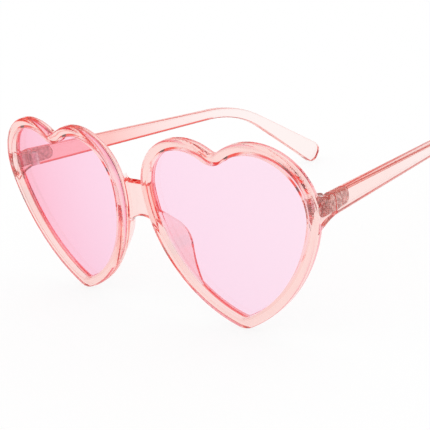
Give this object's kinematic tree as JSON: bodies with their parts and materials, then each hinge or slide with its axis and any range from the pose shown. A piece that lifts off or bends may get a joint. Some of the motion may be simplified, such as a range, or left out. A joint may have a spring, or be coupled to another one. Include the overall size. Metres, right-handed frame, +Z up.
{
  "type": "heart shaped sunglasses",
  "caption": "Sunglasses with heart shaped rims and tinted lenses in clear pink plastic, arms folding inwards on metal hinges.",
  "frame": {"origin": "on the standing surface, in the middle of the open glasses' footprint", "axes": "the front faces -Y, the arms run back along +Y, +Z is up, and +X is on the right seen from the front"},
  "size_m": [0.1364, 0.1552, 0.0603],
  "materials": {
    "front_plastic": "clear pink, polished",
    "temple_plastic": "clear pink, polished",
    "lens_tint": "clear, tinted pink",
    "hinge_metal": "stamped, knurled",
    "screw_metal": "plain"
  },
  "bodies": {
    "front": {"front_frame": "front_plastic", "lens_right": "lens_tint", "lens_left": "lens_tint", "hinge_front_leaf_right": "hinge_metal", "hinge_front_leaf_left": "hinge_metal", "hinge_screw_right": "screw_metal", "hinge_screw_left": "screw_metal"},
    "arm_right": {"temple_right": "temple_plastic", "hinge_temple_leaf_right": "hinge_metal"},
    "arm_left": {"temple_left": "temple_plastic", "hinge_temple_leaf_left": "hinge_metal"}
  },
  "joints": [
    {"name": "fold_right", "type": "hinge", "parent": "front", "child": "arm_right", "pos_m": [0.063, -0.06323, 0.04122], "axis": [0, 0, 1], "range_deg": [0, 76]},
    {"name": "fold_left", "type": "hinge", "parent": "front", "child": "arm_left", "pos_m": [-0.063, -0.06323, 0.04122], "axis": [0, 0, -1], "range_deg": [0, 84]}
  ]
}
